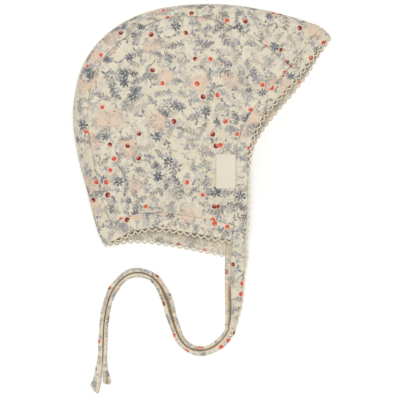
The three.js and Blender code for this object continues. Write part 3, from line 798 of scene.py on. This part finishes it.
def layer_point(layer, plan, field, depth):
    """Points of a layer, some depth inside its outer face. Near the fold the layer bends over in a
    quarter ellipse, from its own level down or up to the level of the fold. The floor keeps the
    lower layer from swelling."""
    distance, inward, shoulder, _ = field
    depth = np.maximum(depth, 0) if layer == "lower" else depth
    middle = shoulder * fold_level
    lean = np.clip(1 - distance / (shoulder * fold_round[layer]), 0, 1)
    rise = np.sqrt(1 - lean**2)
    upward = 1 if layer == "upper" else -1
    reach = (shoulder - middle if layer == "upper" else middle) - depth
    moved = plan + inward * (depth * lean)[..., None]
    return np.concatenate([moved, (middle + upward * reach * rise)[..., None]], axis=-1)


# Ribs of a band: over tip_blend of the edge they turn to lie along the fold at the tip, and over
# end_blend of it to lie along what the band ends at.
tip_blend = 0.14
end_blend = 0.12


def ribs_at(band, layer, shares):
    """Feet on the edge of the opening and unit directions across the band, seen from above."""
    edge = band[layer]
    foot = at_share(edge, shares)
    square = (-1 if band["tip"] == 0 else 1) * left_of(heading(edge, shares))
    on_fold = unit(at_share(fold, [abs(band["tip"] - band["width"] / fold_length)])[0] - edge[0])
    turn = smoothstep(shares, 0, tip_blend)[:, None]
    across = (1 - turn) * on_fold + turn * square
    if layer + "_end" in band:
        turn = smoothstep(shares, 1 - end_blend, 1)[:, None]
        across = (1 - turn) * across + turn * band[layer + "_end"]
    return foot, unit(across)


def clear_of(band, layer):
    """The line along a band at which its neighbours end, just past its seam."""
    foot, across = ribs_at(band, layer, np.linspace(0, 1, 41))
    return smooth_curve(foot + across * (band["width"] + seam_gap), 12)


def share_nearest(curve, point):
    """The share of a curve's length at which it comes nearest to a point."""
    shares = np.linspace(0, 1, 1601)
    return shares[np.linalg.norm(at_share(curve, shares) - point, axis=1).argmin()]


# tip is the end of the fold that a band turns round, 0 for the forehead and 1 for the nape
face_band = {"tip": 0, "width": front_band_width}
face_band |= {layer: smooth_curve(points) for layer, points in face_edges.items()}
nape_band = {"tip": 1, "width": neck_band_width}
for layer, points in neck_edges.items():
    front = clear_of(face_band, layer)
    last = at_share(front, [share_nearest(front, points[-1])])[0]
    above = last + (0, neck_band_width)
    nape_band[layer] = smooth_curve(np.vstack([points[:-1], last]))
    nape_band[layer + "_end"] = unit(at_share(front, [share_nearest(front, above)])[0] - last)


def seams_of(layer):
    """The seam lines of one layer seen from above, and where along the bands' lines the crown seam
    and the corner of the two bands lie."""
    front, nape = clear_of(face_band, layer), clear_of(nape_band, layer)
    front_start, nape_start = share_nearest(front, crown_seam[0]), share_nearest(nape, crown_seam[-1])
    crown = np.vstack([at_share(front, [front_start]), crown_seam[1:-1], at_share(nape, [nape_start])])
    return {
        "front": front, "nape": nape, "crown": smooth_curve(crown),
        "front_start": front_start, "nape_start": nape_start,
        "corner": share_nearest(front, at_share(nape, [1])[0]),
    }


seams = {layer: seams_of(layer) for layer in ("upper", "lower")}

# Edges in a seam: over seam_roll the face of the cloth rolls down a little to meet its neighbour. The
# layers folded inside the seam raise it beside that, and it puckers from stitch to stitch.
seam_roll = 0.0008
seam_dip = 0.00042
seam_swell = 0.00024
swell_place = 0.0026
swell_spread = 0.00156
pucker_depth = 0.00016
pucker_length = 0.0062
pucker_reach = 0.0035
# Painted shade in a seam: how far it reaches, the length of its stretches, its faintest and deepest.
shade_reach = 0.0009
shade_length = 0.021
faintest_shade = 0.04
deepest_shade = 0.64


def seam_depth(from_seam, along_seam):
    """Depth of the outer face at a distance from the seam: a quarter ellipse down to seam_dip at
    the seam itself, less the swell beside it, plus the puckers along it."""
    rolled = seam_dip * (1 - rounded(from_seam, seam_roll, flat=0))
    swell = seam_swell * np.exp(-((from_seam - swell_place) / swell_spread) ** 2)
    phase = along_seam / pucker_length * 2 * np.pi
    pucker = pucker_depth * np.sin(phase + 1.3 * np.sin(phase * 0.31)) * np.exp(-from_seam / pucker_reach)
    fade = smoothstep(from_seam, 0, seam_roll)
    return rolled + (pucker - swell) * fade


def seam_shade(from_seam, along_seam):
    """Painted shade in the ditch of a seam: only next to it, and in stretches along it."""
    phase = along_seam / shade_length * 2 * np.pi
    stretch = smoothstep(np.sin(phase + 2.6 * np.sin(phase * 0.23)), 0.2, 1.0)
    deep = faintest_shade + (deepest_shade - faintest_shade) * stretch
    return (1 - smoothstep(from_seam, 0.0001, shade_reach)) * deep


thin_edge = 0.47                 # a folded edge rounds off to this share of its wall from both faces


def wall_faces(layer, plan, field, outer_depth, wall):
    """Points of the outer face of a wall and of its inner one."""
    outer = layer_point(layer, plan, field, outer_depth)
    inner = layer_point(layer, plan, field, wall - np.clip(outer_depth, 0, thin_edge * wall))
    return outer, inner


def there_and_back(outer, inner=None):
    """Rows over the outer face of a wall and back along its inner one, both the same if only one
    is given."""
    inner = outer if inner is None else inner
    return np.concatenate([outer, inner[:, ::-1]], axis=1)


def inner_side(rows, count, share=1.0):
    """0 on the outer face of a wall's loops and share on the inner one."""
    side = np.zeros((rows, 2 * count))
    side[:, count:] = share
    return side


panel_ends = 0.003               # the share of its seams at which a panel starts and ends
panel_corner = 0.63              # the share of the crown seam that faces the cheek corner
front_rows = 130
nape_rows = 80
panel_columns = 120
column_bunching = 0.14


def panel_piece(layer, shift, turn):
    """A side panel: straight rows of points from the crown seam to the seam of a band, the points
    closer together near both seams."""
    seam = seams[layer]
    crown = np.concatenate([
        np.linspace(panel_ends, panel_corner, front_rows),
        np.linspace(panel_corner, 1 - panel_ends, nape_rows)[1:],
    ])
    starts = at_share(seam["crown"], crown)
    stops = np.vstack([
        at_share(seam["front"], np.linspace(seam["front_start"] + panel_ends, seam["corner"], front_rows)),
        at_share(seam["nape"], np.linspace(1, seam["nape_start"] + panel_ends, nape_rows)[1:]),
    ])
    starts = starts + unit(stops - starts) * seam_gap
    w = np.linspace(0, 1, panel_columns)
    w = w - column_bunching * np.sin(2 * np.pi * w)
    plan = starts[:, None] * (1 - w[None, :, None]) + stops[:, None] * w[None, :, None]
    reach = np.linalg.norm(stops - starts, axis=1)[:, None]
    along = crown[:, None] * run_along(seam["crown"])[-1]
    depth = seam_depth(w * reach, along) + seam_depth((1 - w) * reach, along * 0.9)
    shade = np.maximum(seam_shade(w * reach, along), seam_shade((1 - w) * reach, along * 0.9))
    piece = loft(
        layer + "_side", there_and_back(*wall_faces(layer, plan, field_at(plan), depth, cloth_wall)),
        there_and_back(plan), printed_cloth(layer + "_side_cloth", shift, turn),
        wrong_side=inner_side(len(plan), panel_columns), painted_shade=there_and_back(shade),
    )
    fasten(piece, "printed_jersey", "side_panel_" + layer)


panel_piece("upper", (40.0, 130.0), 0.0)
panel_piece("lower", (-310.0, 55.0), 0.4)

# Crown strip
# The long strip between the two side panels, from the forehead over the crown to the nape. It is
# wrapped over the fold, so both of its seams run side by side, one on each layer.

strip_front_turn = 0.205         # the fold's share opposite the front end of the crown seam
strip_nape_turn = 0.955          # and opposite its rear end
strip_tip = 0.07                 # how far from a band's tip the strip's first row ends
strip_clear = 0.001              # how far past a band's tip the strip starts on the fold
strip_rows = {"front": 50, "crown": 250, "nape": 26}
strip_columns = 44


def across_steps(count):
    """Shares from 0 to 1, closer together at both ends."""
    return (1 - np.cos(np.linspace(0, np.pi, count))) / 2


def strip_heads(layer):
    """Where the arms of the strip end on one layer: along the front band, the crown seam and the
    neck band in turn."""
    seam = seams[layer]
    t = {part: np.linspace(0, 1, count) for part, count in strip_rows.items()}
    return np.vstack([
        at_share(seam["front"], seam["front_start"] * (strip_tip + (1 - strip_tip) * t["front"])),
        at_share(seam["crown"], t["crown"][1:]),
        at_share(seam["nape"], seam["nape_start"] * (1 - (1 - 3 * strip_tip) * t["nape"][1:])),
    ])


def strip_starts():
    """Shares of the fold's length at which the rows of the strip cross it."""
    first = (front_band_width + seam_gap + strip_clear) / fold_length
    last = 1 - (neck_band_width + seam_gap + strip_clear) / fold_length
    return np.concatenate([
        np.linspace(first, strip_front_turn, strip_rows["front"]),
        np.linspace(strip_front_turn, strip_nape_turn, strip_rows["crown"])[1:],
        np.linspace(strip_nape_turn, last, strip_rows["nape"])[1:],
    ])


def strip_piece(shift, turn):
    """The crown strip: each row goes from the upper seam to the fold and on to the lower seam, its
    points set closer near the fold and the seams. On the cloth a point lies as far along as its
    foot on the fold, and as far across as the way over the round fold, an arc, and on."""
    share = strip_starts()
    start = at_share(fold, share)[:, None]
    step = across_steps(strip_columns)[::-1]
    outer, inner, on_cloth, shade = [], [], [], []
    for layer, side, steps in (("upper", -1, step), ("lower", 1, step[-2::-1])):
        head = strip_heads(layer)[:, None]
        plan = start + (head - start) * steps[None, :, None]
        to_seam = (1 - steps) * np.linalg.norm(head - start, axis=-1)
        depth = seam_depth(to_seam, share[:, None] * fold_length * 1.03)
        shade.append(seam_shade(to_seam, share[:, None] * fold_length * 0.97))
        field = field_at(plan)
        faces = wall_faces(layer, plan, field, depth, cloth_wall)
        outer.append(faces[0])
        inner.append(faces[1])
        distance, _, shoulder, foot = field
        bend = shoulder * fold_round[layer]
        radius = (bend + shoulder * (1 - fold_level if layer == "upper" else fold_level)) / 2
        over = radius * np.arccos(np.clip(1 - distance / bend, 0, 1)) + np.maximum(distance - bend, 0)
        on_cloth.append(np.stack([foot, side * over], axis=-1))
    outer, inner, on_cloth, shade = (
        np.concatenate(parts, axis=1) for parts in (outer, inner, on_cloth, shade)
    )
    piece = loft(
        "crown_piece", there_and_back(outer, inner), there_and_back(on_cloth),
        printed_cloth("crown_piece_cloth", shift, turn),
        wrong_side=inner_side(len(share), outer.shape[1]), painted_shade=there_and_back(shade),
    )
    fasten(piece, "printed_jersey", "crown_strip")


strip_piece((500.0, -220.0), 0.15)

# Front binding with its straps
# One strip folded over the raw edge of the face opening. It runs from a strap up one layer, round
# the tip over the forehead and back down the other layer into the other strap.

band_columns = 26
edge_roll = 0.0011               # roundness of a folded edge, half the wall
strap_wall = 0.0022
# Painted shadow of the upper band's edge on the lower band: its reach and its strength.
edge_shadow_reach = 0.0017
edge_shadow_strength = 0.85
# The inside of a folded band fades to that pale ground, which also paints light into its shade.
binding_fade = 0.35              # how far the inside of a folded band is faded
# Painted shade on the lower strap beside the upper one:
lower_shade_in = (-0.0030, -0.0008)    # from the upper strap's inner edge, none and full
lower_shade_down = (0.074, 0.092)      # below the middle of the frame, none and full
# down as a share of strap_drop, left and right as shares of cap_length, level in walls
strap_tables = {
    "upper": [(0.14, 0.611, 0.667, 2.70), (0.32, 0.610, 0.662, 1.75), (0.51, 0.610, 0.657, 1.30),
              (0.72, 0.612, 0.651, 1.20), (0.84, 0.612, 0.643, 1.00), (0.93, 0.610, 0.636, 0.50),
              (1.00, 0.605, 0.634, 0.00)],
    "lower": [(0.30, 0.587, 0.636, 0), (0.51, 0.587, 0.635, 0), (0.70, 0.588, 0.628, 0),
              (0.82, 0.589, 0.612, 0), (0.91, 0.589, 0.610, 0), (1.00, 0.587, 0.606, 0)],
}


def band_depth(across, along, width, wall):
    """Depth of a band's outer face: a full round at its folded edge and a seam at its other."""
    fold_edge = thin_edge * wall * (1 - rounded(across, edge_roll, flat=0))
    return fold_edge + seam_depth(width - across, along)


def band_loops(band, layer, shares):
    """Loops of a band on one layer at shares of the edge from its tip."""
    foot, across = ribs_at(band, layer, shares)
    w = across_steps(band_columns) * band["width"]
    plan = foot[:, None] + across[:, None] * w[None, :, None]
    along = shares[:, None] * run_along(band[layer])[-1]
    depth = band_depth(w, along, band["width"], band_wall)
    return there_and_back(*wall_faces(layer, plan, field_at(plan), depth, band_wall))


def shadow_under_edge(loops, band):
    """Painted shadow of the upper band's edge on points of the lower band: a bell of their distance
    from that edge seen from above, on the inner face only."""
    away = distance_to(band["upper"][::6], loops[..., :2].reshape(-1, 2)).reshape(loops.shape[:2])
    return np.exp(-(away / edge_shadow_reach) ** 2) * inner_side(len(loops), band_columns, edge_shadow_strength)


def strap_edges(layer):
    """The left and the right edge of a strap, as dense curves from the end of the front band down."""
    foot, across = ribs_at(face_band, layer, np.ones(1))
    ends = np.vstack([foot + across * front_band_width, foot])
    field = field_at(ends)
    corners = layer_point(layer, ends, field, band_wall if layer == "upper" else 0.0)
    edges = []
    for corner, column in zip(corners, (1, 2)):
        rows = [(*place(row[column], -row[0] * strap_drop / cap_height), row[3] * strap_wall)
                for row in strap_tables[layer]]
        edges.append(smooth_curve(np.vstack([corner, rows]), 14))
    return edges


def strap_loops(layer):
    """Loops of a strap from the end of the front band down: a flat oval section between its two
    edges, with its outer side first as on the band."""
    left, right = strap_edges(layer)
    w = across_steps(band_columns)[None, :, None]
    base = right[:, None] * (1 - w) + left[:, None] * w
    base[..., 2] = np.maximum(base[..., 2], 0)
    width = np.linalg.norm(left - right, axis=1)[:, None]
    from_edge = np.minimum(w[..., 0], 1 - w[..., 0]) * width
    half = strap_wall / 2 * rounded(from_edge, edge_roll, flat=0.03)
    outward = 1 if layer == "upper" else -1
    centre = base + (0, 0, strap_wall / 2)
    rise = np.stack([np.zeros(half.shape), np.zeros(half.shape), outward * half], axis=-1)
    return there_and_back(centre + rise, centre - rise)


def tip_shares(count):
    """Shares of an edge from its tip, closer together where the band folds round there."""
    return np.linspace(0, 1, count) ** 1.35


def band_piece(name, loops, painted_shade, shift):
    """A folded band through its loops. On the cloth a point lies as far along as the middle line
    of its outer face, and as far across as from the folded edge straight to it."""
    face = loops[:, :band_columns]
    across = np.linalg.norm(face - face[:, :1], axis=-1)
    along = run_along(face.mean(axis=1))[:, None]
    on_cloth = np.stack(np.broadcast_arrays(along, across), axis=-1)
    return loft(
        name, loops, there_and_back(on_cloth), printed_cloth(name + "_cloth", shift, 0.0),
        wrong_side=inner_side(len(loops), band_columns, binding_fade), painted_shade=painted_shade,
    )


def shade_beside_upper_strap(points):
    """Painted shade on points of the lower strap, where it folds beside the upper strap: more and
    more towards the inner edge of the upper strap, and down from a little below the cap."""
    edge = strap_edges("upper")[0]
    cover = np.interp(-points[..., 1], -edge[:, 1], edge[:, 0])
    toward = smoothstep(points[..., 0] - cover, *lower_shade_in)
    return toward * smoothstep(-points[..., 1], *lower_shade_down)


shares = tip_shares(190)
parts = [
    strap_loops("upper")[:0:-1], band_loops(face_band, "upper", shares[::-1]),
    band_loops(face_band, "lower", shares[1:]), strap_loops("lower")[1:],
]
upper_strap, upper_band, lower_band, lower_strap = parts
painted_shade = np.concatenate([
    np.zeros(upper_strap.shape[:2]), np.zeros(upper_band.shape[:2]),
    shadow_under_edge(lower_band, face_band), shade_beside_upper_strap(lower_strap),
])
binding = band_piece("front_binding", np.concatenate(parts), painted_shade, (90.0, 410.0))
fasten(binding, "printed_binding", "front_band", "strap_upper", "strap_lower")

# Neck band
# A wide hem sewn along the neck edge of both layers, in one strip that folds round the nape. Its
# two ends are caught in the front binding.

shares = tip_shares(130)
upper_band = band_loops(nape_band, "upper", shares[::-1])
lower_band = band_loops(nape_band, "lower", shares[1:])
painted_shade = np.concatenate([np.zeros(upper_band.shape[:2]), shadow_under_edge(lower_band, nape_band)])
hem = band_piece("neck_hem", np.concatenate([upper_band, lower_band]), painted_shade, (-150.0, -330.0))
fasten(hem, "printed_binding", "neck_band")

# Looped edging
# A cream cotton thread that runs to and fro along the folded edges and stands out from them in
# small open loops, one in each 5 mm. It goes on down the outer edges of the straps.

loop_pitch = 0.005
loop_thread = 0.00092
face_reach = 0.0019              # from the folded edge to the crown of a loop
neck_reach = 0.0024
loop_root = -0.0002              # the foot of a loop is just inside the edge
loop_spread = 0.00030            # how far a loop's sides bulge past its foot
loop_point = 0.95                # 1 gives loops with straight arms and sharp points
loop_tilt = 0.00018              # how much one arm of a loop lies over the other
loop_unevenness = 0.12
loop_steps = 18
loop_stand = 0.9                 # the slope at which the lower layer's loops stand up
strap_fading = 0.012             # over which the loops grow smaller to the ends of the straps
strap_edging = {"upper": 0.97, "lower": 0.6}
strap_hug = 0.60                 # how much shorter the loops are where they hug a strap
strap_hug_start = (0.006, 0.024)    # down the strap, none and full


def cotton_thread():
    """Material of the edging: cream two-ply cotton, its plies a slanting stripe in the relief."""
    material, shader, flat = new_material("edging_cotton")
    x, y = x_and_y(flat)
    ply = (x * 1100.0 + y).math("PINGPONG", 0.5)
    tone = noise(flat, 900.0) * 0.5 + ply * 0.8
    feed(shader, {
        "Base Color": mixed(tone, srgb(216, 203, 178), srgb(245, 236, 217)),
        "Normal": relief(ply, 0.8, 0.0002), "Roughness": 0.85, "Specular IOR Level": 0.2,
    })
    return material


edging_cotton = cotton_thread()


def edging_piece(name, chain, loop_reach, seed, fading, *nodes):
    """A thread along a chain of edge points. In each pitch, for a phase from 0 to a full turn, it
    goes out by reach (1/2 - asin(loop_point cos phase) / pi) and back and forth along the edge by
    spread sin phase. Over the length fading at its ends the reach goes down to 0.5 of itself."""
    random = np.random.default_rng(seed)
    chain = [np.concatenate(parts) for parts in zip(*chain)]
    run = run_along(chain[0])
    loops = int(round(run[-1] / loop_pitch))
    phase = np.linspace(0, 2 * np.pi * loops, loops * loop_steps + 1)
    odd = np.interp(phase, np.arange(loops + 1) * 2 * np.pi, random.uniform(-1, 1, loops + 1))
    uneven = 1 + loop_unevenness * odd
    want = phase / (2 * np.pi * loops) * run[-1] - loop_spread * np.sin(phase) * uneven
    at, out, up = (look_up(want, run, rows) for rows in chain)
    size = np.clip(np.minimum(want, run[-1] - want) / fading, 0.5, 1) * uneven
    swing = 0.5 - np.arcsin(loop_point * np.cos(phase)) / np.pi
    reach = loop_root + (loop_reach - loop_root) * size * swing
    centre = at + out * reach[:, None] + unit(up) * (loop_tilt * np.sin(phase))[:, None]
    ahead = unit(np.gradient(centre, axis=0))
    beside = unit(np.cross(ahead, unit(up)))
    lift = np.cross(beside, ahead)
    turn = np.linspace(0, 2 * np.pi, 8, endpoint=False)[None, :, None]
    ring = np.cos(turn) * beside[:, None] + np.sin(turn) * lift[:, None]
    points = centre[:, None] + loop_thread / 2 * ring
    round_thread = np.abs(turn[..., 0] - np.pi) / np.pi
    on_cloth = np.stack(np.broadcast_arrays(run_along(centre)[:, None], round_thread), axis=-1)
    fasten(loft(name, points, on_cloth, edging_cotton), "loop_edging", *nodes)


def edge_chain(band, layer, shares):
    """Points in the middle of a band's folded edge, the way out of it and the way up through it.
    The lower layer's loops stand up a little from the floor."""
    foot, across = ribs_at(band, layer, shares)
    field = field_at(foot)
    outer, inner = (layer_point(layer, foot, field, depth) for depth in (0.0, band_wall))
    stand = loop_stand if layer == "lower" else 0.0
    out = unit(np.column_stack([-across, stand * smoothstep(shares, 0, 0.1)]))
    return (outer + inner) / 2, out, unit(outer - inner)


def strap_chain(layer, upto):
    """The same along the outer edge of a strap, down to a share of its length. The way out gets
    shorter from the second loop on, because there the loops hug the edge."""
    right = strap_edges(layer)[1]
    right = right[:int(len(right) * upto)]
    ahead = unit(np.gradient(right[:, :2], axis=0))
    out = np.column_stack([left_of(ahead), np.zeros(len(right))])
    out *= 1 - strap_hug * smoothstep(run_along(right), *strap_hug_start)[:, None]
    up = np.tile((0.0, 0.0, 1.0 if layer == "upper" else -1.0), (len(right), 1))
    level = np.maximum(right[:, 2:], 0) + strap_wall / 2
    return np.column_stack([right[:, :2], level]), out, up


chain_shares = tip_shares(420)
front_chain = [
    [part[:0:-1] for part in strap_chain("upper", strap_edging["upper"])],
    [part[::-1] for part in edge_chain(face_band, "upper", chain_shares)],
    [part[1:] for part in edge_chain(face_band, "lower", chain_shares)],
    [part[1:] for part in strap_chain("lower", strap_edging["lower"])],
]
edging_piece("front_loops", front_chain, face_reach, 5, strap_fading,
             "picot_front", "picot_strap_upper", "picot_strap_lower")
neck_chain = [
    [part[::-1] for part in edge_chain(nape_band, "upper", chain_shares)],
    [part[1:] for part in edge_chain(nape_band, "lower", chain_shares)],
]
edging_piece("neck_loops", neck_chain, neck_reach, 9, 0.002, "picot_neck")

# Label
# A bare tape of closely woven cream cotton, folded under at its lower end. Its right side is caught
# in the seam of the front binding, and its other side lies loose on the cloth.

label_height = 0.024
label_width = 0.0136
label_wall = 0.0007
label_place = place(0.590, 0.304)
label_sink = 0.00015             # the tape presses this deep into the cloth
label_lift = 0.0005
label_hem = (-0.42, 0.05, 0.00025)    # its place and spread as shares of the height, and its swell
label_round = 0.0003


def woven_tape():
    """Material of the label: cream cotton, its warp and weft a fine grid in the relief."""
    material, shader, flat = new_material("label_tape")
    x, y = x_and_y(flat)
    weave = (x * 2400.0).math("PINGPONG", 0.5) * (y * 1700.0).math("PINGPONG", 0.5)
    tone = noise(flat, 500.0) * 0.5 + weave * 2.0
    feed(shader, {
        "Base Color": mixed(tone, srgb(221, 213, 196), srgb(237, 230, 216)),
        "Normal": relief(weave, 0.7, 0.0002), "Roughness": 0.8, "Specular IOR Level": 0.25,
    })
    return material


def label_piece():
    """The tape lies on the upper layer. Its free side lifts by the cube of the way from the seam,
    more at the corners, and it swells by a bell where it is folded under at its lower end."""
    v = np.linspace(-0.5, 0.5, 60)[:, None]
    u = across_steps(26)[None, :] - 0.5
    plan = label_place + np.stack(np.broadcast_arrays(u * label_width, v * label_height), axis=-1)
    lift = label_lift * (0.5 - u) ** 3 * (1 + 1.2 * np.abs(v * 2) ** 3)
    hem_place, hem_spread, hem_swell = label_hem
    swell = hem_swell * np.exp(-((v - hem_place) / hem_spread) ** 2)
    from_edge = np.minimum((0.5 - np.abs(u)) * label_width, (0.5 - np.abs(v)) * label_height)
    half = label_wall / 2 * rounded(from_edge, label_round)
    base = -label_sink - label_wall / 2 - lift
    field = field_at(plan)
    outer, inner = (
        layer_point("upper", plan, field, depth) for depth in (base - half - swell, base + half)
    )
    piece = loft("tape_label", there_and_back(outer, inner), there_and_back(plan), woven_tape())
    fasten(piece, "woven_label", "label")


label_piece()
